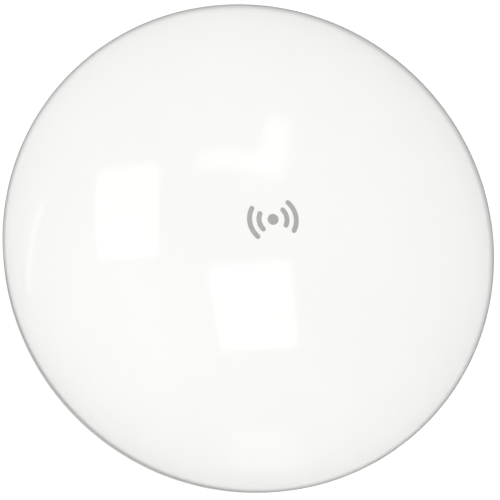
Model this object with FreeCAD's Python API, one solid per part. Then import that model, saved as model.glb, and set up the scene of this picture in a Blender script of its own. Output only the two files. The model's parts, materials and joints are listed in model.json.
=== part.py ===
import FreeCAD, Part
import math
import os

# Outdoor dish antenna with a domed cover, on a ball-joint pole bracket.
# Row frame: +Z runs up the pole, the antenna faces -Y, and the origin is the centre
# of the clamped pole at the height of the strap. All sizes are in millimetres.

# Driving dimensions
dish_diameter = 189.0        # outside of the dome's rim
overall_depth = 125.0        # dome apex to the tips of the pole saddle
dome_height = 31.0
dome_wall = 2.2
housing_wall = 2.4
bowl_depth = 38.0            # depth of the rear housing's bowl
seam_gap = 0.4               # open joint between dome and rear housing
pole_diameter = 42.4         # nominal steel tube, 1 1/4 inch pipe
ball_radius = 16.5
ball_to_seam = 51.5
ball_to_plate = 29.5         # ball centre to the front of the bracket plate
plate_to_vertex = 4.5        # plate front to the imaginary vertex of the vee
vee_half_angle = math.radians(62.0)
vee_flat = 4.0               # half width of the flat at the bottom of the vee
focal_length = 50.0
thread_pitch = 4.0
cover_seam = 50.0            # distance below the axis where the port cover starts
cover_end = 80.0             # distance below the axis where it ends

# Places that follow from them, along Y
pole_radius = pole_diameter / 2
vertex_y = -(pole_radius + 0.03) / math.sin(vee_half_angle)
ball_y = vertex_y - plate_to_vertex - ball_to_plate
seam_y = ball_y - ball_to_seam
apex_y = seam_y - dome_height
tip_y = apex_y + overall_depth
plate_y = ball_y + ball_to_plate
dish_radius = dish_diameter / 2

X = FreeCAD.Vector(1, 0, 0)
Y = FreeCAD.Vector(0, 1, 0)
Z = FreeCAD.Vector(0, 0, 1)
origin = FreeCAD.Vector(0, 0, 0)
ball_centre = FreeCAD.Vector(0, ball_y, 0)


# ---- small modelling helpers ----

def vec(x, y, z=0.0):
    return FreeCAD.Vector(x, y, z)


def line(a, b):
    return Part.makeLine(vec(*a), vec(*b))


def arc(a, middle, b):
    return Part.Arc(vec(*a), vec(*middle), vec(*b)).toShape()


def quarter_ellipse(radius, depth, y, end_radius=0.0):
    # From the rim at (radius, y) to end_radius. A negative depth bulges to the front.
    curve = Part.Ellipse(vec(0, y), radius, abs(depth))
    turn = math.acos(end_radius / radius)
    if depth > 0:
        return Part.ArcOfEllipse(curve, 0, turn).toShape()
    return Part.ArcOfEllipse(curve, -turn, 0).toShape()


def ellipse_depth(radius, depth, r):
    return depth * math.sqrt(1 - (r / radius) ** 2)


def spin(edges):
    # Solid of revolution about the Y axis from edges that lie in the XY plane.
    wire = Part.Wire(Part.__sortEdges__(edges))
    solid = Part.Face(wire).revolve(origin, Y, 360)
    return Part.makeSolid(solid) if solid.ShapeType == "Shell" else solid


def spin_polygon(points):
    closed = points + [points[0]]
    return spin([line(a, b) for a, b in zip(closed, closed[1:])])


def ring(inner, outer, y0, y1):
    return spin_polygon([(inner, y0), (outer, y0), (outer, y1), (inner, y1)])


def rod(radius, start, direction, length):
    return Part.makeCylinder(radius, length, start, direction)


def box(x0, x1, y0, y1, z0, z1):
    return Part.makeBox(x1 - x0, y1 - y0, z1 - z0, vec(x0, y0, z0))


def rounded_box(x0, x1, y0, y1, z0, z1, radius, along=Y):
    # A box whose edges along one axis are rounded.
    solid = box(x0, x1, y0, y1, z0, z1)
    edges = [e for e in solid.Edges if abs(abs(e.tangentAt(e.FirstParameter).dot(along)) - 1) < 1e-6]
    return solid.makeFillet(radius, edges)


def fuse(first, *others):
    return first.multiFuse(list(others)).removeSplitter()


def around_axis(solid, degrees):
    turned = solid.copy()
    turned.rotate(origin, Y, degrees)
    return turned


def group(solids):
    return Part.makeCompound(solids)


def only_solid(shape):
    # The biggest solid of a boolean's result, without its compound.
    return max(shape.Solids, key=lambda s: s.Volume)


# ---- front dome and its seal ----

tongue_inner = 88.4
tongue_outer = 90.2
ridge_inner = 90.5
ridge_outer = 91.5
ridge_front = seam_y - 2.6
tongue_front = seam_y - 8.6
tongue_back = seam_y + 5.0
hook_front = seam_y + 3.0
hook_reach = 0.7             # how far a hook stands out from the tongue
hook_half_width = 6.0
hook_count = 8
seal_height = 1.25


def half_ellipsoid(radius, depth, y):
    edges = [quarter_ellipse(radius, depth, y)]
    edges.append(line((0, y), (radius, y)))
    edges.append(line((0, y), (0, y + depth)))
    return spin(edges)


def make_dome():
    shell = half_ellipsoid(dish_radius, -dome_height, seam_y).cut(
        half_ellipsoid(dish_radius - dome_wall, dome_wall - dome_height, seam_y))
    tongue = ring(tongue_inner, tongue_outer, tongue_front, tongue_back)
    hook = spin_polygon([
        (tongue_outer - 0.5, hook_front), (tongue_outer + hook_reach, hook_front),
        (tongue_outer + hook_reach, hook_front + 0.6), (tongue_outer - 0.5, tongue_back)])
    wedge = box(-hook_half_width, hook_half_width, seam_y, tongue_back + 1, tongue_inner - 20, dish_radius)
    hooks = [around_axis(hook.common(wedge), 360 * n / hook_count) for n in range(hook_count)]
    return only_solid(fuse(shell, tongue, *hooks))


def make_dome_seal():
    return spin_polygon([
        (tongue_outer + 0.05, ridge_front - 0.02), (tongue_outer + 1.05, ridge_front - 0.02),
        (tongue_outer + 0.95, ridge_front - seal_height), (tongue_outer + 0.15, ridge_front - seal_height)])


# ---- printed emblem: a dot between two pairs of arcs ----

emblem_film = 0.1
emblem_dot = 2.0
emblem_arcs = [(4.2, 6.0), (7.6, 9.4)]
emblem_half_sweep = 44.0


def emblem_arc(inner, outer, middle_degrees):
    low = math.radians(middle_degrees - emblem_half_sweep)
    mid = math.radians(middle_degrees)
    high = math.radians(middle_degrees + emblem_half_sweep)

    def at(radius, angle):
        return vec(radius * math.cos(angle), apex_y - 5, radius * math.sin(angle))

    edges = [
        Part.Arc(at(outer, low), at(outer, mid), at(outer, high)).toShape(),
        Part.makeLine(at(outer, high), at(inner, high)),
        Part.Arc(at(inner, high), at(inner, mid), at(inner, low)).toShape(),
        Part.makeLine(at(inner, low), at(outer, low))]
    return Part.Face(Part.Wire(edges)).extrude(vec(0, 20))


def make_emblem():
    film = half_ellipsoid(dish_radius + emblem_film, -dome_height - emblem_film, seam_y).cut(
        half_ellipsoid(dish_radius, -dome_height, seam_y))
    marks = [emblem_arc(*radii, middle) for middle in (0, 180) for radii in emblem_arcs]
    dot = rod(emblem_dot, vec(0, apex_y - emblem_film), Y, emblem_film)
    return group([dot] + [only_solid(film.common(mark)) for mark in marks])


# ---- rear housing: bowl, ball socket and threaded neck ----

socket_radius = 18.3
socket_bore = 18.4
socket_wall = 2.0
neck_root = 21.7
neck_crest = 22.6
neck_end_y = ball_y + 6.0
neck_rise = 4.6              # from the bowl's shoulder to the straight part of the neck
shoulder_radius = 28.0
ridge_half_base = 0.8
ridge_half_crest = 0.5
rim_radius = dish_radius - 0.3
rim_y = seam_y + seam_gap
bowl_inner_radius = rim_radius - housing_wall
bowl_inner_depth = bowl_depth - housing_wall

block_half = 17.0
block_corner = 3.0
block_edge = 1.1             # rounding of the block's rear edges
block_wall = 1.8
block_top = -30.3
block_back = seam_y + 46.0
panel_thickness = 2.1
wall_top = seam_y + 41.0
bay_floor = seam_y + 31.2
bulkhead_top = -cover_seam + 1.0
bulkhead_bottom = -cover_seam - 0.6
groove_y = seam_y + 38.3
groove_height = 1.6
groove_depth = 0.9

clearance = 0.1              # between a moving piece and its guide
board_front = seam_y + 28.5
board_back = seam_y + 30.1
board_screw_places = [(19, 20), (-19, 20), (22, -17), (-22, -17)]
board_post_radius = 3.0
dish_post_radius = 3.4
board_screw_radius = 1.0
dish_screw_radius = 1.2

jack_half = 8.0
jack_back = board_back + 13.4
jack_top = -32.4

reset_x = 11.5
reset_y = seam_y + 32.9
reset_travel = 0.35
plunger_radius = 1.2
switch_face = -44.6

latch_half = 5.5
latch_low = -68.0
latch_high = -57.0
latch_arm_inner = 10.0
latch_arm_outer = 13.4

end_wall_thickness = 2.0
cable_y = seam_y + 37.4
cable_bore = 3.25
grommet_neck = 4.4
grommet_flange = 5.3

pad_seat = seam_y + 3.6      # where the reflector's screw heads sit
pad_back = seam_y + 5.4      # back of the reflector's bosses
screw_circle = 70.0
dish_screw_places = [
    (screw_circle * math.cos(math.radians(a)), screw_circle * math.sin(math.radians(a)))
    for a in (45, 135, 225, 315)]

light_circle = 34.0
light_step = 10.5
light_radius = 1.6
light_angles = [math.radians(light_step * n) for n in (-2.5, -1.5, -0.5, 0.5, 1.5, 2.5)]
light_places = [(light_circle * math.cos(a), light_circle * math.sin(a)) for a in light_angles]


def helical_ridge(base_radius, crest_radius, start_y, turns):
    # Ridge of a right-hand thread about the Y axis, winding towards +Y.
    helix = Part.makeHelix(thread_pitch, turns * thread_pitch, base_radius)
    corners = [
        vec(base_radius, 0, -ridge_half_base), vec(crest_radius, 0, -ridge_half_crest),
        vec(crest_radius, 0, ridge_half_crest), vec(base_radius, 0, ridge_half_base)]
    section = Part.makePolygon(corners + [corners[0]])
    ridge = Part.Wire(helix).makePipeShell([section], True, True)
    ridge.rotate(origin, X, -90)
    ridge.translate(vec(0, start_y))
    return ridge


def make_neck_thread():
    return helical_ridge(neck_root - 0.2, neck_crest, ball_y - 5.0, 2.25)


def port_outline(front_y):
    # The port's outside with rounded rear edges, shared by the surround and its cover.
    outline = rounded_box(-block_half, block_half, front_y, block_back, -cover_end, block_top, block_corner)
    rim = [e for e in outline.Edges if all(abs(v.Point.y - block_back) < 1e-6 for v in e.Vertexes)]
    return outline.makeFillet(block_edge, rim)


def port_hollows():
    inner = block_half - block_wall
    roof = block_back - panel_thickness
    bay = box(-inner, inner, board_front - 0.8, roof, bulkhead_top, block_top - block_wall)
    plug_room = box(-inner, inner, bay_floor, block_back + 5, -cover_end - 5, bulkhead_bottom)
    mouth_half = jack_half + 0.15
    mouth = box(
        -mouth_half, mouth_half, board_back - clearance, jack_back + 0.15,
        bulkhead_bottom, bulkhead_top + 1)
    reset_hole = rod(plunger_radius + clearance, vec(reset_x, reset_y, -cover_seam - 2), Z, 4)
    groove_half = inner + groove_depth
    grooves = box(
        -groove_half, groove_half, groove_y, groove_y + groove_height, -cover_end - 5, bulkhead_bottom)
    hollows = [bay, plug_room, mouth, reset_hole, grooves]
    for side in (-1, 1):
        a = side * (latch_arm_inner - 0.4)
        b = side * (latch_arm_outer + 0.4)
        hollows.append(box(min(a, b), max(a, b), roof - 3.2, roof, -cover_seam - 2, bulkhead_top + 1))
    return group(hollows)


def bowl_outside():
    shoulder_y = rim_y + ellipse_depth(rim_radius, bowl_depth, shoulder_radius)
    neck_start_y = shoulder_y + neck_rise
    return spin([
        line((0, rim_y), (rim_radius, rim_y)),
        quarter_ellipse(rim_radius, bowl_depth, rim_y, shoulder_radius),
        arc((shoulder_radius, shoulder_y), (neck_root + 1.9, shoulder_y + 1.35), (neck_root, neck_start_y)),
        line((neck_root, neck_start_y), (neck_root, neck_end_y)),
        line((neck_root, neck_end_y), (0, neck_end_y)),
        line((0, neck_end_y), (0, rim_y))])


def make_rear_housing():
    outside = bowl_outside()
    inside = half_ellipsoid(bowl_inner_radius, bowl_inner_depth, rim_y)
    inside = inside.cut(Part.makeSphere(socket_radius + socket_wall, ball_centre))
    floor_plate = box(
        -block_half, block_half, bay_floor - block_wall, bay_floor, -cover_seam - 12, bulkhead_top)
    shell = outside.cut(inside).fuse(floor_plate.common(outside)).cut(port_hollows())
    lip = spin_polygon([
        (ridge_inner, ridge_front), (ridge_outer, ridge_front), (ridge_outer, rim_y),
        (rim_radius - 0.6, rim_y), (rim_radius - 0.6, rim_y + 1.0),
        (bowl_inner_radius + 0.4, rim_y + 2.2), (ridge_inner, rim_y + 2.2)])
    posts = [rod(board_post_radius, vec(x, board_back, z), Y, 8.0) for x, z in board_screw_places]
    posts += [rod(dish_post_radius, vec(x, pad_back, z), Y, 24.0) for x, z in dish_screw_places]
    shell = shell.multiFuse([lip, make_neck_thread()] + [post.common(outside) for post in posts])
    cuts = [Part.makeSphere(socket_radius, ball_centre), rod(socket_bore, ball_centre, Y, 20)]
    cuts += [rod(board_screw_radius + 0.05, vec(x, board_back, z), Y, 5.0) for x, z in board_screw_places]
    cuts += [rod(dish_screw_radius + 0.05, vec(x, pad_back, z), Y, 8.0) for x, z in dish_screw_places]
    cuts += [rod(light_radius + 0.05, vec(x, board_back, z), Y, 20) for x, z in light_places]
    return only_solid(shell.cut(group(cuts)))


def make_port_surround():
    above_cover = box(-40, 40, wall_top, block_back + 5, -cover_end - 5, -cover_seam)
    surround = port_outline(seam_y + 16).cut(above_cover)
    return only_solid(surround.cut(bowl_outside()).cut(port_hollows()))


# ---- port cover, its latch and the cable grommet ----

def make_port_cover():
    z_top = -cover_seam - 0.25
    inner = block_half - block_wall
    roof = block_back - panel_thickness
    cap = port_outline(wall_top + 0.25).common(
        box(-40, 40, wall_top, block_back + 5, -cover_end - 5, z_top))
    cap = cap.cut(box(-inner, inner, wall_top - 1, roof, -cover_end + end_wall_thickness, 0))
    pieces = [cap]
    for side in (-1, 1):
        near = side * (inner - 1.3)
        far = side * (inner - 0.2)
        tip = side * (inner + 0.7)
        pieces.append(box(
            min(near, far), max(near, far), groove_y - 0.8, roof + 0.5, -cover_end + 1.0, z_top - 1.5))
        pieces.append(box(
            min(near, tip), max(near, tip), groove_y + 0.2, groove_y + groove_height - 0.2,
            -cover_end + 1.0, z_top - 1.5))
    pieces.append(box(
        -inner + 0.25, inner - 0.25, bay_floor + 0.25, roof + 0.5,
        -cover_end, -cover_end + end_wall_thickness))
    cover = pieces[0].multiFuse(pieces[1:])
    window = rounded_box(-latch_half, latch_half, roof - 1, block_back + 5, latch_low, latch_high, 1.5)
    cover = cover.cut(window)
    cover = cover.cut(rod(grommet_neck, vec(0, cable_y, -cover_end - 3), Z, 8))
    return only_solid(cover.removeSplitter())


def make_cover_latch():
    roof = block_back - panel_thickness
    top = roof - 0.3
    button = rounded_box(
        -latch_half + 0.3, latch_half - 0.3, top - 0.6, block_back + 0.6,
        latch_low + 0.3, latch_high - 0.3, 1.2)
    plate = box(-latch_arm_outer, latch_arm_outer, top - 1.2, top, latch_low + 1.0, latch_high - 2.0)
    pieces = [button, plate]
    for side in (-1, 1):
        a = side * latch_arm_inner
        b = side * latch_arm_outer
        pieces.append(box(
            min(a, b), max(a, b), top - 1.2, top - 0.4, latch_low + 1.0, -cover_seam + 3.4))
        pieces.append(box(
            min(a, b), max(a, b), top - 1.2, top, -cover_seam + 1.8, -cover_seam + 3.4))
    latch = fuse(*pieces)
    for n in range(3):
        z = (latch_low + latch_high) / 2 + (n - 1) * 2.4
        latch = latch.cut(rod(0.5, vec(-latch_half, block_back + 0.75, z), X, 2 * latch_half))
    return only_solid(latch)


def make_cable_grommet():
    z = -cover_end
    groove = grommet_neck - 0.05
    profile = [
        (cable_bore, z - 1.6), (grommet_flange, z - 1.6), (grommet_flange, z - 0.05),
        (groove, z - 0.05), (groove, z + end_wall_thickness + 0.05),
        (grommet_flange - 0.2, z + end_wall_thickness + 0.05),
        (grommet_flange - 0.6, z + 3.6), (cable_bore, z + 3.6)]
    wire = Part.makePolygon([vec(r, cable_y, height) for r, height in profile + [profile[0]]])
    return Part.Face(wire).revolve(vec(0, cable_y, 0), Z, 360)


# ---- reflector and feed ----

dish_rim = 84.0
dish_thickness = 0.8
dish_vertex_y = seam_y + 26.0
feed_hole = 7.4


def paraboloid_y(radius):
    return dish_vertex_y - radius ** 2 / (4 * focal_length)


def parabola_edge(r0, r1, shift=0.0):
    # A parabola's span is a quadratic curve whose middle pole follows from its ends.
    middle_y = dish_vertex_y - r0 * r1 / (4 * focal_length)
    curve = Part.BezierCurve()
    curve.setPoles([
        vec(r0, paraboloid_y(r0) + shift), vec((r0 + r1) / 2, middle_y + shift),
        vec(r1, paraboloid_y(r1) + shift)])
    return curve.toShape()


def make_reflector():
    flange = dish_rim + 1.6
    front_y = paraboloid_y(dish_rim)
    back_y = front_y + dish_thickness
    hole_y = paraboloid_y(feed_hole)
    dish = spin([
        parabola_edge(feed_hole, dish_rim),
        line((dish_rim, front_y), (flange, front_y)),
        line((flange, front_y), (flange, back_y)),
        line((flange, back_y), (dish_rim, back_y)),
        parabola_edge(feed_hole, dish_rim, dish_thickness),
        line((feed_hole, hole_y + dish_thickness), (feed_hole, hole_y))])
    behind = spin([
        parabola_edge(feed_hole, dish_rim),
        line((dish_rim, front_y), (dish_rim, seam_y + 30)),
        line((dish_rim, seam_y + 30), (feed_hole, seam_y + 30)),
        line((feed_hole, seam_y + 30), (feed_hole, hole_y))])
    bosses = [rod(4.2, vec(x, seam_y - 4, z), Y, pad_back - seam_y + 4) for x, z in dish_screw_places]
    dish = dish.multiFuse([boss.common(behind) for boss in bosses])
    cuts = [rod(2.9, vec(x, pad_seat - 12, z), Y, 12) for x, z in dish_screw_places]
    cuts += [rod(1.4, vec(x, pad_seat - 1, z), Y, 8) for x, z in dish_screw_places]
    return only_solid(dish.cut(group(cuts)))


def pan_screw(x, z, seat_y, shank_radius, length, head_radius, head_height):
    # Cross-slotted screw driven from the front, with its head in front of seat_y.
    screw = rod(head_radius, vec(x, seat_y - head_height, z), Y, head_height)
    screw = screw.fuse(rod(shank_radius, vec(x, seat_y, z), Y, length))
    slot = 0.28 * head_radius
    for half_x, half_z in ((0.7 * head_radius, slot / 2), (slot / 2, 0.7 * head_radius)):
        screw = screw.cut(box(
            x - half_x, x + half_x, seat_y - head_height - 1, seat_y - 0.45 * head_height,
            z - half_z, z + half_z))
    return only_solid(screw)


def make_reflector_screws():
    return group([pan_screw(x, z, pad_seat, dish_screw_radius, 8.0, 2.5, 1.4) for x, z in dish_screw_places])


feed_inner = 5.6
feed_outer = 7.0
feed_end_y = seam_y - 22.6
feed_board_radius = 11.0
sub_reflector_radius = 13.0
sub_reflector_y = feed_end_y - 3.8
cap_radius = 14.2
coax_radius = 1.1


def make_feed_tube():
    tube = ring(feed_inner, feed_outer, feed_end_y, board_front)
    collar = ring(feed_inner, 10.0, dish_vertex_y - 2.0, paraboloid_y(10.0) - 0.05)
    return fuse(tube, collar)


def make_feed_coax():
    length = board_front - feed_end_y
    places = (-2 * coax_radius, 2 * coax_radius)
    return group([rod(coax_radius, vec(x, feed_end_y), Y, length) for x in places])


def make_feed_board():
    return rod(feed_board_radius, vec(0, feed_end_y - 1.0), Y, 1.0)


def make_sub_reflector():
    return rod(sub_reflector_radius, vec(0, sub_reflector_y), Y, 0.6)


def make_feed_cap():
    cap = rod(cap_radius, vec(0, sub_reflector_y - 0.8), Y, 5.4)
    cap = cap.cut(rod(sub_reflector_radius + clearance, vec(0, sub_reflector_y), Y, 8.0))
    ledge = ring(
        feed_board_radius + 0.2, cap_radius - 0.8, sub_reflector_y + 0.65, feed_end_y + 0.8)
    return fuse(cap, ledge)


# ---- electronics ----

def make_main_board():
    board = fuse(
        rounded_box(-26, 38, board_front, board_back, -22, 26, 2.0),
        box(-14.5, 14.5, board_front, board_back, bulkhead_top + 0.2, -21))
    holes = [rod(1.15, vec(x, board_front - 1, z), Y, 4) for x, z in board_screw_places]
    return only_solid(board.cut(group(holes)))


def make_board_screws():
    return group([
        pan_screw(x, z, board_front, board_screw_radius, 6.4, 2.0, 1.2) for x, z in board_screw_places])


def make_radio_shield():
    can = rounded_box(-25, -9.5, board_back, board_back + 2.5, -10, 14, 0.8)
    return can.cut(box(-24.6, -9.9, board_back - 1, board_back + 2.1, -9.6, 13.6))


def make_radio_chip():
    return box(-21.5, -13, board_back, board_back + 1.0, -3, 6)


def make_processor():
    return box(5, 17, board_back, board_back + 1.1, -10, 2)


def make_memory_chips():
    return group([box(20, 28, board_back, board_back + 1.0, z, z + 10) for z in (-12, 4)])


def make_transformer():
    return rounded_box(-7, 7, board_front - 4.2, board_front, -46, -36, 0.6)


def make_capacitors():
    return group([rod(3.0, vec(x, board_front - 4.5, -29), Y, 4.5) for x in (-9, 0, 9)])


jack_cavity_low = board_back + 2.6
jack_cavity_high = board_back + 10.6
jack_cavity_half = 6.0
jack_front = jack_top - 18.0


def make_jack():
    jack = box(-jack_half, jack_half, board_back, jack_back, jack_front, jack_top)
    jack = jack.cut(box(
        -jack_cavity_half, jack_cavity_half, jack_cavity_low, jack_cavity_high,
        jack_front - 1, jack_front + 13.4))
    return jack.cut(box(
        -3.2, 3.2, jack_cavity_high - 1, jack_cavity_high + 1.7, jack_front - 1, jack_front + 9))


def make_jack_contacts():
    pitch = 1.02
    wires = []
    for n in range(8):
        x = (n - 3.5) * pitch
        wires.append(box(
            x - 0.2, x + 0.2, jack_cavity_low, jack_cavity_low + 0.8, jack_front + 3, jack_front + 12))
    return group(wires)


def make_reset_switch():
    body = box(
        reset_x - 2.6, reset_x + 2.6, board_back, board_back + 5.4, switch_face, switch_face + 3.6)
    stem = rod(0.9, vec(reset_x, reset_y, switch_face - 0.6), Z, 1.0)
    return fuse(body, stem)


def make_reset_button():
    outer_end = bulkhead_bottom - 0.4
    inner_end = switch_face - 0.6 - reset_travel - 0.05
    plunger = rod(plunger_radius, vec(reset_x, reset_y, outer_end), Z, inner_end - outer_end)
    collar = rod(1.55, vec(reset_x, reset_y, bulkhead_top + 0.05), Z, 1.0)
    return fuse(plunger, collar)


def make_status_leds():
    return group([
        box(x - 0.8, x + 0.8, board_back, board_back + 0.7, z - 0.4, z + 0.4) for x, z in light_places])


def make_light_pipes():
    start = board_back + 0.9
    end = rim_y + ellipse_depth(rim_radius, bowl_depth, light_circle) + 0.3
    return group([rod(light_radius, vec(x, start, z), Y, end - start) for x, z in light_places])


# ---- ball joint ----

liner_gap = 0.08
ring_front = 4.0
ring_back = 8.3
washer_back = 9.55
band_inner = 23.0
band_outer = 27.0
band_front = -12.8           # these two are counted from the ball's centre
band_back = 11.5
flange_inner = 17.0
rib_count = 24
rib_radius = 1.5


def from_ball(radius, degrees):
    # A point at an angle from the rear axis of the ball, in the XY plane.
    angle = math.radians(degrees)
    return radius * math.sin(angle), ball_y + radius * math.cos(angle)


def make_ball_liner():
    near = ball_radius + liner_gap
    far = socket_radius - liner_gap
    rear, middle, front = 102, 128, 155
    return spin([
        arc(from_ball(near, rear), from_ball(near, middle), from_ball(near, front)),
        line(from_ball(near, front), from_ball(far, front)),
        arc(from_ball(far, front), from_ball(far, middle), from_ball(far, rear)),
        line(from_ball(far, rear), from_ball(near, rear))])


def make_compression_ring():
    near = ball_radius + liner_gap
    outer = socket_radius - 0.1
    front = math.degrees(math.acos(ring_front / near))
    back = math.degrees(math.acos(ring_back / near))
    front_point = from_ball(near, front)
    back_point = from_ball(near, back)
    return spin([
        arc(front_point, from_ball(near, (front + back) / 2), back_point),
        line(back_point, (outer, back_point[1])),
        line((outer, back_point[1]), (outer, front_point[1])),
        line((outer, front_point[1]), front_point)])


def make_thrust_washer():
    return ring(15.9, neck_crest, ball_y + ring_back + 0.05, ball_y + washer_back)


def make_lock_band():
    flange_front = washer_back + 0.05
    mouth = band_inner + 2.0
    profile = [
        (mouth, band_front), (mouth, band_front + 3.0), (band_inner, band_front + 4.0),
        (band_inner, flange_front), (flange_inner, flange_front), (flange_inner, band_back),
        (band_outer - 0.8, band_back), (band_outer, band_back - 0.8),
        (band_outer, band_front + 0.8), (band_outer - 0.8, band_front)]
    band = spin_polygon([(r, ball_y + a) for r, a in profile])
    ridge = helical_ridge(band_inner + 0.2, neck_root + 0.25, ball_y - 3.0, 1.75)
    rib = rod(rib_radius, vec(band_outer - 0.3, ball_y - 11.0), Y, 20.0)
    rib = rib.makeFillet(0.7, [e for e in rib.Edges if e.Curve.TypeId == "Part::GeomCircle"])
    ribs = [around_axis(rib, 360 * n / rib_count) for n in range(rib_count)]
    return only_solid(band.multiFuse([ridge] + ribs))


# ---- bracket and strap on the pole ----

plate_half_width = 18.4
plate_half_height = 25.0
strap_width = 12.7
strap_thickness = 0.6
strap_bend = 1.5
slot_front = plate_y + 1.9
slot_back = slot_front + 1.9
stem_radius = 8.0
stem_foot_radius = 15.0
core_radius = 5.0
strap_inner = pole_radius + 0.03
strap_outer = strap_inner + strap_thickness
tail_inner = strap_outer + 0.1
tail_outer = tail_inner + strap_thickness
tail_slots = 11
screw_radius = 3.2
screw_y = tail_outer + 0.25 + screw_radius


def vee_y(x):
    return vertex_y + abs(x) / math.tan(vee_half_angle)


def make_pole_bracket():
    saddle_tip = (tip_y - vertex_y) * math.tan(vee_half_angle)
    half = [
        (plate_half_width, plate_y), (plate_half_width, slot_back), (saddle_tip + 1.0, tip_y),
        (saddle_tip, tip_y), (vee_flat, vee_y(vee_flat))]
    outline = half + [(-x, y) for x, y in reversed(half)]
    face = Part.Face(Part.makePolygon([vec(x, y, -plate_half_height) for x, y in outline + outline[:1]]))
    saddle = face.extrude(vec(0, 0, 2 * plate_half_height))
    corners = [e for e in saddle.Edges if abs(abs(e.tangentAt(e.FirstParameter).x) - 1) < 1e-6
               and abs(e.CenterOfMass.y - plate_y) < 0.01]
    saddle = saddle.makeFillet(3.0, corners)
    stem = spin([
        line((0, ball_y + 10), (stem_radius, ball_y + 10)),
        line((stem_radius, ball_y + 10), (stem_radius, ball_y + 21)),
        arc((stem_radius, ball_y + 21), (stem_radius + 2.0, plate_y - 3.3),
            (stem_foot_radius, plate_y + 0.5)),
        line((stem_foot_radius, plate_y + 0.5), (0, plate_y + 0.5)),
        line((0, plate_y + 0.5), (0, ball_y + 10))])
    bracket = fuse(Part.makeSphere(ball_radius, ball_centre), stem, saddle)
    cuts = [rod(core_radius, vec(0, ball_y - 4), Y, 60)]
    cuts.append(box(-30, 30, slot_front, slot_back, -strap_width / 2 - 0.5, strap_width / 2 + 0.5))
    relief = box(vee_flat + 2, 30, -40, 0, 9.5, 11.0)
    for z in (-16.0, -9.5, -3.0):
        for side in (-1, 1):
            notch = relief.copy()
            notch.translate(vec(0, 0, z))
            if side < 0:
                notch = notch.mirror(origin, X)
            cuts.append(notch.common(box(-30, 30, -22, 0, -30, 30)))
    return only_solid(bracket.cut(group(cuts)))


def strap_path():
    # Inner edge of the strap: round the pole, straight to the saddle, through its slot.
    bend_x = plate_half_width - 0.9
    bend_y = slot_front + 0.65 + strap_thickness + strap_bend
    reach = math.hypot(bend_x, bend_y)
    slope = math.atan2(bend_y, bend_x) + math.acos((strap_inner - strap_bend) / reach)
    leave = vec(strap_inner * math.cos(slope), strap_inner * math.sin(slope))
    meet = vec(bend_x + strap_bend * math.cos(slope), bend_y + strap_bend * math.sin(slope))
    low = vec(bend_x, bend_y - strap_bend)
    turn = (slope - math.pi / 2) / 2
    middle = vec(bend_x + strap_bend * math.cos(turn), bend_y + strap_bend * math.sin(turn))

    def mirrored(p):
        return vec(-p.x, p.y)

    return Part.Wire([
        Part.Arc(leave, vec(0, strap_inner), mirrored(leave)).toShape(),
        Part.makeLine(mirrored(leave), mirrored(meet)),
        Part.Arc(mirrored(meet), mirrored(middle), mirrored(low)).toShape(),
        Part.makeLine(mirrored(low), low),
        Part.Arc(low, middle, meet).toShape(),
        Part.makeLine(meet, leave)])


def upright_ring(inner, outer, start, sweep, z0, z1):
    # A sector of a ring about the pole's axis, from the angle start.
    low = vec(inner, 0, z0)
    face = Part.Face(Part.makePolygon([low, vec(outer, 0, z0), vec(outer, 0, z1), vec(inner, 0, z1), low]))
    solid = face.revolve(origin, Z, sweep)
    solid.rotate(origin, Z, start)
    return solid


def make_strap_band():
    half = strap_width / 2
    inner = strap_path()
    outer = inner.makeOffset2D(strap_thickness)
    loop = Part.Face(outer).cut(Part.Face(inner)).Faces[0].extrude(vec(0, 0, strap_width))
    loop.translate(vec(0, 0, -half))
    tail = upright_ring(tail_inner, tail_outer, 72, 84, -half, half)
    joint = upright_ring(strap_outer - 0.1, tail_inner + 0.1, 72, 5, -half, half)
    band = loop.multiFuse([tail, joint])
    slots = []
    for n in range(tail_slots):
        slot = upright_ring(tail_inner - 0.05, tail_outer + 1, 84 + 6.4 * n, 2.6, -half + 2.6, half - 2.6)
        slots.append(slot)
    return only_solid(band.cut(group(slots)))


def make_strap_housing():
    bore = screw_radius + 0.1
    half_length = 6.5
    saddle_half = strap_width / 2 + 0.9
    body = rod(bore + 1.1, vec(-half_length, screw_y), X, 2 * half_length)
    body = body.fuse(box(
        -half_length, half_length, tail_outer + 0.1, screw_y, -bore - 1.1, bore + 1.1))
    foot = box(-half_length, half_length, strap_inner - 0.8, tail_outer + 1.0, -saddle_half, saddle_half)
    body = body.fuse(foot)
    passage_half = strap_width / 2 + clearance
    passage = upright_ring(strap_inner - 6, tail_outer + 0.12, 0, 180, -passage_half, passage_half)
    pole_space = rod(strap_inner + 0.45, vec(0, 0, -20), Z, 40)
    worm_space = rod(bore, vec(-half_length - 1, screw_y), X, 2 * half_length + 2)
    return only_solid(body.cut(passage).cut(pole_space).cut(worm_space))


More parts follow.
